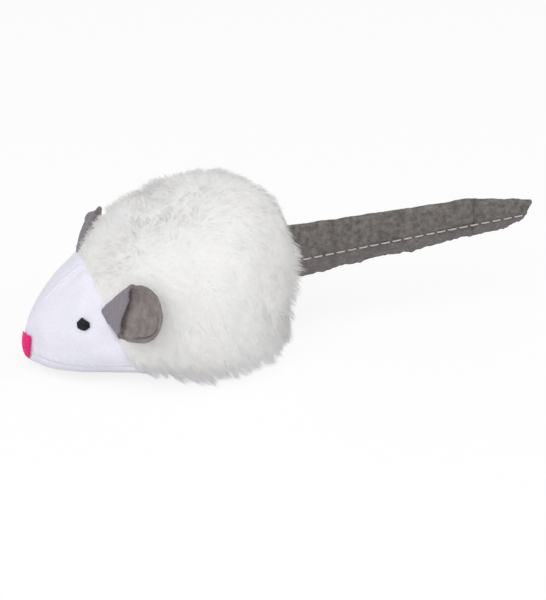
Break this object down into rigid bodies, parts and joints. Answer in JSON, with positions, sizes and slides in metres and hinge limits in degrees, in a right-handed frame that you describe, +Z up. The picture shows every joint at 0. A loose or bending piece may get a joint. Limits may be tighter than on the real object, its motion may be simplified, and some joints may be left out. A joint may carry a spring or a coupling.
{
  "type": "catnip mouse",
  "caption": "Stuffed plush toy mouse with a smooth velboa head, folded velour ears, a topstitched velour strip tail and a catnip pouch inside.",
  "frame": {"origin": "on the flat underside that the mouse rests on, below the widest part of the body", "axes": "+X from nose to tail, +Y to the mouse's right, +Z up"},
  "size_m": [0.1259, 0.0594, 0.0425],
  "materials": {
    "velboa": "short brushed pile",
    "plush": "long soft pile",
    "ear_velour": "brushed velour",
    "tail_velour": "brushed velour",
    "pink_thread": "satin-stitched polyester thread",
    "black_thread": "embroidered polyester thread",
    "pale_thread": "spun sewing thread",
    "fibre": "loose polyester fibre",
    "non_woven": "thin non-woven cloth",
    "dried_leaf": "crumbled dried leaf"
  },
  "bodies": {
    "toy": {"head_left_panel": "velboa", "head_right_panel": "velboa", "body_left_panel": "plush", "body_right_panel": "plush", "underside_panel": "velboa", "neck_seam_thread": "pale_thread", "ridge_seam_thread": "pale_thread", "nose_stitches": "pink_thread", "left_eye_stitches": "black_thread", "right_eye_stitches": "black_thread", "front_filling": "fibre", "rear_filling": "fibre", "catnip_pouch": "non_woven", "dried_catnip": "dried_leaf"},
    "left_ear": {"left_ear_inner_layer": "ear_velour", "left_ear_outer_layer": "ear_velour"},
    "right_ear": {"right_ear_inner_layer": "ear_velour", "right_ear_outer_layer": "ear_velour"},
    "tail_root": {"tail_root": "tail_velour"},
    "tail_front": {"tail_front": "tail_velour", "tail_topstitch_front": "pale_thread"},
    "tail_rear": {"tail_rear": "tail_velour", "tail_topstitch_rear": "pale_thread"},
    "tail_tip": {"tail_tip": "tail_velour", "tail_topstitch_tip": "pale_thread"}
  },
  "joints": [
    {"name": "left_ear_fold", "type": "hinge", "parent": "toy", "child": "left_ear", "pos_m": [-0.01563, -0.01647, 0.01775], "axis": [0.3147, -0.3918, -0.8646], "range_deg": [-3, 55], "stiffness_Nm_per_rad": 0.0005},
    {"name": "right_ear_fold", "type": "hinge", "parent": "toy", "child": "right_ear", "pos_m": [-0.01563, 0.01647, 0.01775], "axis": [-0.3147, -0.3918, 0.8646], "range_deg": [-3, 55], "stiffness_Nm_per_rad": 0.0005},
    {"name": "tail_lift", "type": "hinge", "parent": "toy", "child": "tail_root", "pos_m": [0.0291, 0, 0.022], "axis": [0, -1, 0], "range_deg": [-20, 20], "stiffness_Nm_per_rad": 0.005},
    {"name": "tail_swing", "type": "hinge", "parent": "tail_root", "child": "tail_front", "pos_m": [0.0365, 0, 0.022], "axis": [0, 0, 1], "range_deg": [-65, 65], "stiffness_Nm_per_rad": 0.001},
    {"name": "tail_bend", "type": "hinge", "parent": "tail_front", "child": "tail_rear", "pos_m": [0.0565, 0, 0.024], "axis": [0, 0, 1], "range_deg": [-60, 60], "stiffness_Nm_per_rad": 0.0005},
    {"name": "tail_curl", "type": "hinge", "parent": "tail_rear", "child": "tail_tip", "pos_m": [0.0765, 0, 0.026], "axis": [0, 0, 1], "range_deg": [-75, 75], "stiffness_Nm_per_rad": 0.0003}
  ]
}
